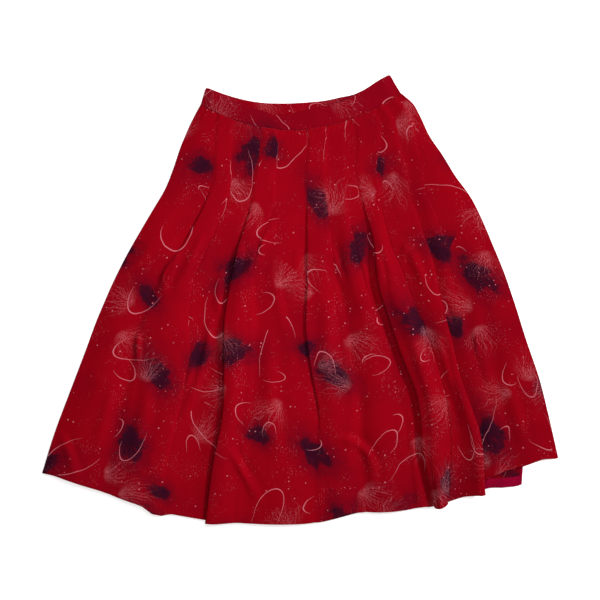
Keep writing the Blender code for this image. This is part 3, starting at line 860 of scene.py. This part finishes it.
# The strips of cloth between the folds, from left to right: the points that each is worked out in,
# and how far its middle stands above (or below) the line between its sides
CROWN_STATIONS = (0.0, 0.22, 0.45, 0.70, 1.0)
Strip = namedtuple("Strip", "columns crown")
STRIPS = table(
    Strip,
    (3, (0, 0, 2, 4, 3)), (2, (0, 0.5, 3, 3, 2)), (2, (0, 0, -2, -4, -1)), (2, (0, 0.5, 3, 2, 2)),
    (3, (0, 0, 2, 3, 4)), (2, (0, 0.5, 4, 4, 3)), (2, (0, 0, 3, 4, 3)), (1, (0, -1, -3, 0, 2)),
    (2, (0, 0.5, 5, 7, 6)), (2, (0, 0, 2, -2, -4)), (2, (0, 0.5, 3, 3, 2)), (2, (0, 0, 2, 4, 3)),
)
STRIP_STEPS = 4
FOLD_STEPS = 2
FULL_CROWN_WIDTH = 24.0
HEM_SIDE = 0.002
FRONT_CREASES = table(
    Crease,
    ((-140, -283), (-117, -326), (-74, -400), 7, 4.5), ((-468, -253), (-445, -300), (-436, -347), 7, 3.6),
    ((69, -267), (153, -275), (141, -370), 8, 4.9), ((-168, -62), (-182, -96), (-186, -130), 5, 4.1),
    ((-172, -20), (-178, -130), (-236, -245), 7, 5.6), ((-315, -60), (-318, -90), (-314, -125), 6, 3.6),
    ((-232, 92), (-262, 52), (-268, 10), 8, 4.5), ((-250, 76), (-266, 56), (-270, 36), 4, 3.2),
    ((-208, -120), (-214, -150), (-226, -176), 5, 4.1), ((-112, 112), (-124, 84), (-128, 42), 6, 4.9),
    ((-86, 104), (-92, 78), (-104, 40), 5, 4.5), ((12, 60), (4, -60), (22, -210), 12, 3.4),
    ((52, 20), (60, -90), (50, -200), 11, 3.1), ((146, 44), (133, 84), (116, 118), 8, -5.0),
    ((196, 40), (214, -60), (244, -150), 10, 3.8), ((204, 112), (226, 70), (244, 20), 8, 4.5),
    ((272, -10), (288, -30), (296, -62), 5, 3.6), ((330, 20), (352, -70), (372, -190), 12, 3.8),
    ((338, -62), (346, -86), (344, -112), 5, 3.2), ((396, -150), (420, -210), (436, -286), 10, 3.4),
    ((-360, -150), (-376, -220), (-400, -300), 11, 3.4),
    ((-290, -130), (-300, -220), (-330, -330), 12, 3.8), ((-60, -60), (-66, -180), (-44, -330), 14, 3.4),
    ((96, -120), (104, -230), (92, -360), 12, 3.1), ((-108, 100), (-112, 84), (-120, 58), 4, 4.4),
    ((-68, 136), (-74, 106), (-88, 70), 5, 8.0), ((-52, 158), (-66, 104), (-96, 48), 9, 6.0),
    ((208, 112), (205, 98), (196, 80), 4, 4.2), ((146, 96), (156, 60), (160, 18), 6, 4.0),
    ((262, -60), (280, -120), (300, -200), 8, 3.6), ((-60, 60), (-40, 10), (-34, -60), 9, 2.6),
    ((-2, 108), (-8, 80), (-6, 40), 6, 2.8), ((60, 104), (70, 76), (78, 30), 6, 2.8),
    ((-186, 130), (-206, 96), (-226, 40), 7, 3.2), ((-150, 60), (-162, 20), (-160, -30), 6, 3.4),
)


def folded_row(down, sewn):
    """One cross section of the front: sideways distance, height over the lowest cloth and the
    place across that sets each point's hem length. Where it is sewn, the pleats' underlaps are
    pressed away into a narrow slope."""
    left, right = side_points(down)
    width = float(np.linalg.norm(right - left))
    opened = ease((down - PLEATS_STITCHED) / (PLEATS_OPEN - PLEATS_STITCHED)) if sewn else 1.0
    pressed = STITCHED_PRESSED + (1 - STITCHED_PRESSED) * opened
    ends = []
    for fold in FOLDS:
        middle = curve_through(down, LINE_STATIONS, fold.line) / 1000
        sideways, height, on_top = fold_section(
            fold.facing,
            max(curve_through(down, DEPTH_STATIONS, fold.lap), 0.0) * opened,
            max(curve_through(down, DEPTH_STATIONS, fold.rise), 0.0) * pressed,
            STITCHED_RAMP + (OPEN_RAMP - STITCHED_RAMP) * opened,
        )
        side = 1 if fold.facing == "left" else -1
        upper_place = np.maximum(side * sideways / width, HEM_SIDE)
        hem_place = middle + side * np.where(on_top == 1, upper_place, -HEM_SIDE)
        ends.append(np.stack((middle * width + sideways, height, hem_place), axis=1))
    side_edge = [(inset, 0.0, inset / width) for inset in SIDE_EDGE]
    points, steps = side_edge[:1], []
    for index, strip in enumerate(STRIPS):
        crown = curve_through(down, CROWN_STATIONS, strip.crown)
        start = np.array(points[-1])
        end = ends[index][0] if index < len(ends) else np.array((width, 0.0, 1.0))
        crown *= min(1.0, (end[0] - start[0]) / FULL_CROWN_WIDTH)
        if index == 0:
            points.extend(side_edge[1:])
            steps.extend([1, 1])
        for step in range(1, strip.columns + 1):
            share = step / (strip.columns + 1)
            spot = start + (end - start) * share
            spot[1] = start[1] + (end[1] - start[1]) * ease(share) + crown * np.sin(np.pi * share)
            points.append(spot)
            steps.append(STRIP_STEPS)
        if index < len(ends):
            points.extend(ends[index])
            steps.extend([STRIP_STEPS] + [FOLD_STEPS] * 6)
    points.extend([(width - inset, 0.0, 1 - share) for inset, _, share in side_edge[::-1]])
    steps.extend([STRIP_STEPS, 1, 1])
    return smooth_row(np.array(points), steps), width


def front_grid(sewn):
    """Middle surface of the front as it lies over the back, row by row from waist to hem."""
    grid, slack = [], []
    for down in FRONT_DOWN:
        row, width = folded_row(down, sewn)
        sideways, height, hem_places = row.T
        across = sideways / width
        inside = ease(np.minimum(across, 1 - across) / EDGE_SHARE)
        past_pleats = ease((down - BACK_LAP_END - CLEARANCE_DELAY) / CLEARANCE_RUN)
        lowest = FRONT_EDGE_LEVEL + PLEAT_CLEARANCE * (1 - past_pleats) * inside
        air = FRONT_LOFT * inside * ease((down - LOFT_START) / LOFT_RUN)
        x, y = lay_row(across, down, FRONT_SEAM_SAG, FRONT_HEM, hem_places)
        grid.append(np.stack((x, y, lowest + np.maximum(air + height, 0.0)), axis=1))
        from_side = np.minimum(sideways, width - sideways)
        rolled = SIDE_SEAM_DROP * (1 - ease(from_side / SIDE_SEAM_WIDTH))
        pucker = np.sin(sideways * 2 * np.pi / PUCKER_SPACING + 1.4 * np.sin(sideways / 41.0))
        pucker *= PUCKER_HEIGHT * np.exp(-down / PUCKER_REACH)
        slack.append(np.stack((rolled, pucker, air + height), axis=1))
    return np.array(grid), np.array(slack)


FRONT_CUT = (0.0, 0.0, 0.0)
front_face = printed_crepe("front_printed_crepe", FRONT_CUT)
front_inside = printed_crepe("front_crepe_inside", FRONT_CUT, INSIDE_STRENGTH)

front_cut, _ = front_grid(sewn=False)
front_flat, front_slack = front_grid(sewn=True)
side_drop, puckers, room = np.moveaxis(front_slack, 2, 0)
front_creases = np.maximum(crease_heights(front_flat, FRONT_CREASES), -0.6 * np.maximum(room, 0.0))
front_lifted = front_flat.copy()
front_lifted[..., 2] += rumple(front_flat) + front_creases + puckers - side_drop
front_places = cloth_places(front_cut, front_cut.shape[1] // 2)
front_middle, front_places = turn_up_hem(front_lifted, front_places, inside=-1)
front_panel = cloth_piece(
    "front_panel", front_middle, front_places,
    upper=front_face,
    lower=front_inside,
    turned_rows=HEM_TURN_ROWS + len(HEM_TURN_ANGLES),
    turned=("upper", hem_crepe),
)
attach(front_panel, "root")
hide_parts("skirt_front")
panel_sewing("front", front_middle, inside=-1)

# Waistband, back half and front half
# Straight strips of the same crepe over a light stiffener, folded in two along the top and
# seamed to the panels. The front half has slumped below the back half, whose inside shows.
BAND_TOP_LEFT = np.array((-185.5, 414.6))
BAND_TOP_RIGHT = np.array((177.0, 440.2))
BAND_THICKNESS = 1.6
BAND_MOUTH = 3.5
BAND_GAP = 0.3
BAND_SEAM_GAP = 0.55
BAND_SEAM_LAP = 1.3
BAND_SEAM_ROLL = 2.6
BAND_CORNER = 7.0
BAND_WIDTH = 30.0
BAND_COLUMNS = 190
BAND_SWELL = 0.5
BAND_PUCKER = 0.3
BAND_LENGTH = 390.0
BACK_SHARE = 0.4
BAND_TURN_ANGLES = (30, 60, 90, 120, 150)
BAND_RED = (0.226, 0.0006, 0.0066, 1.0)
BAND_SHARES = np.concatenate((np.linspace(0, 0.88, 10), (0.91, 0.935, 0.955, 0.975, 0.99, 1.0)))
BandPoint = namedtuple("BandPoint", "across front_drop back_drop")
BAND_TOP = table(
    BandPoint,
    (0.00, 0.0, 0.0), (0.09, 16.8, 14.9), (0.18, 32.8, 27.0), (0.25, 46.1, 34.4), (0.31, 55.5, 38.9),
    (0.39, 65.9, 42.1), (0.44, 65.2, 43.5), (0.52, 61.4, 44.2), (0.57, 58.5, 44.2), (0.65, 54.9, 43.1),
    (0.73, 49.0, 38.8), (0.80, 38.7, 35.0), (0.86, 27.6, 26.6), (0.93, 12.4, 12.0), (1.00, 0.0, 0.0),
)


def band_grid(front):
    """Middle surface of half the waistband, from its top edge to its seam."""
    stations = listed(BAND_TOP, "across")
    drops = listed(BAND_TOP, "front_drop" if front else "back_drop")
    seam_sag = FRONT_SEAM_SAG if front else BACK_SEAM_SAG
    across = np.linspace(0, 1, BAND_COLUMNS)
    top = BAND_TOP_LEFT + (BAND_TOP_RIGHT - BAND_TOP_LEFT) * across[:, None]
    top[:, 1] -= [curve_through(place, stations, drops) for place in across]
    seam = SEAM_LEFT + (SEAM_RIGHT - SEAM_LEFT) * across[:, None]
    seam[:, 1] -= seam_sag * 4 * across * (1 - across) - BAND_SEAM_GAP + BAND_SEAM_LAP
    from_end = np.minimum(across, 1 - across) * np.linalg.norm(BAND_TOP_RIGHT - BAND_TOP_LEFT)
    short = np.maximum(BAND_CORNER - from_end, 0.0)
    top[:, 1] -= BAND_CORNER - np.sqrt(BAND_CORNER ** 2 - short ** 2)
    inside = ease(np.minimum(across, 1 - across) / EDGE_SHARE)
    level = BAND_THICKNESS / 2 + (BAND_THICKNESS + BAND_GAP + BAND_MOUTH * inside if front else 0 * inside)
    grid = []
    for share in BAND_SHARES:
        x, y = (top + (seam - top) * share).T
        swell = BAND_SWELL * np.sin(np.pi * share) * inside
        waves = np.sin(across * BAND_LENGTH * 2 * np.pi / PUCKER_SPACING)
        pucker = np.maximum(BAND_PUCKER * share ** 4 * waves * inside, 0)
        grid.append(np.stack((x, y, level + (swell + pucker) * (1 if front else BACK_SHARE)), axis=1))
    grid = np.array(grid)
    grid[..., 2] += rumple(grid)
    return grid


def folded_band(name, front, shift):
    """One strip of cloth that goes up the band's lower side, turns over its top edge and
    comes down its upper side."""
    grid = band_grid(front)
    normals = grid_normals(grid)
    half = BAND_THICKNESS / 2 - CLOTH_THICKNESS / 2
    from_seam = (1 - BAND_SHARES[:, None, None]) * BAND_WIDTH
    short = np.maximum(BAND_SEAM_ROLL - from_seam, 0.0) / BAND_SEAM_ROLL
    halves = half * (0.15 + 0.85 * np.sqrt(1 - short ** 2))
    upward = unit(grid[0] - grid[1])
    rows = [grid[::-1] - normals[::-1] * halves[::-1]]
    for angle in np.radians(BAND_TURN_ANGLES):
        rows.append((grid[0] - normals[0] * half * np.cos(angle) + upward * half * np.sin(angle))[None])
    rows.append(grid + normals * halves)
    middle = np.concatenate(rows)
    climb = run_along(np.linalg.norm(np.diff(middle, axis=0), axis=2).mean(axis=1))
    along = run_along(np.linalg.norm(np.diff(grid[-1], axis=0), axis=1))
    places = np.stack(np.broadcast_arrays(along[None], -climb[:, None]), axis=2)
    ground = BAND_RED if front else BRIGHT_RED
    face = printed_crepe(name + "_printed_crepe", shift, ground=ground, relief=0.4)
    band = cloth_piece(name, middle, places, upper=face, lower=face)
    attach(band, "root")
    return band


back_band = folded_band("back_waistband", False, (0.9, 0.1, 0.0))
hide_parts("waistband_back")
front_band = folded_band("front_waistband", True, (0.1, 1.3, 0.0))
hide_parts("waistband_front")

# Floor
# A plain pale light table under the skirt, faintly lit from below.
FLOOR_HALF = 4.0
FLOOR_GREY = (0.86, 0.86, 0.86, 1.0)
FLOOR_WHITE = (0.9, 0.9, 0.895, 1.0)
floor_mesh = bpy.data.meshes.new("floor")
floor_corners = [(x * FLOOR_HALF, y * FLOOR_HALF, 0) for x, y in ((-1, -1), (1, -1), (1, 1), (-1, 1))]
floor_mesh.from_pydata(floor_corners, [], [(0, 1, 2, 3)])
floor = place_object("floor", floor_mesh)
floor_paint, floor_bench, floor_shader = new_material("pale_floor")
floor_place = floor_bench.add("ShaderNodeTexCoord")[3]
floor_colour = floor_bench.blend(floor_bench.clouds(floor_place, 3.0, 3.0)[0], FLOOR_GREY, FLOOR_WHITE)
floor_bench.set_up(floor_shader, Base_Color=floor_colour, Roughness=0.9, Emission_Color=floor_colour,
                   Emission_Strength=0.8)
floor_mesh.materials.append(floor_paint)

# Lights
# Soft studio light from all round, with a soft box over the middle and one wide low light from
# the upper right, which draws the folds.
world = bpy.data.worlds.new("studio")
world.use_nodes = True
background = world.node_tree.nodes["Background"]
background.inputs["Color"].default_value = (1.0, 1.0, 1.0, 1.0)
background.inputs["Strength"].default_value = 0.18
bpy.context.scene.world = world
box = bpy.data.lights.new("soft_box", "AREA")
box.size = 0.5
box.energy = 4.3
rake = bpy.data.lights.new("raking_light", "SUN")
rake.angle = 0.2
rake.energy = 3.45
for lamp, spot in ((box, (-0.02, 0.15, 0.8)), (rake, (1.15, 0.55, 0.85))):
    lamp_object = place_object(lamp.name, lamp)
    lamp_object.location = spot
    lamp_object.rotation_mode = "QUATERNION"
    lamp_object.rotation_quaternion = Vector(spot).to_track_quat("Z", "Y")
    lamp_object.visible_camera = False
bpy.context.scene.view_settings.view_transform = "Standard"

# Camera
# It looks straight down from high above the skirt's middle, as the skirt was laid out.
PHOTO_WIDTH = 1.170
LENS = 100.0
SENSOR = 36.0
camera_data = bpy.data.cameras.new("camera")
camera_data.lens = LENS
camera_data.sensor_width = SENSOR
camera = place_object("camera", camera_data)
camera.location = (-0.0005, 0.0001, PHOTO_WIDTH * LENS / SENSOR)
bpy.context.scene.camera = camera
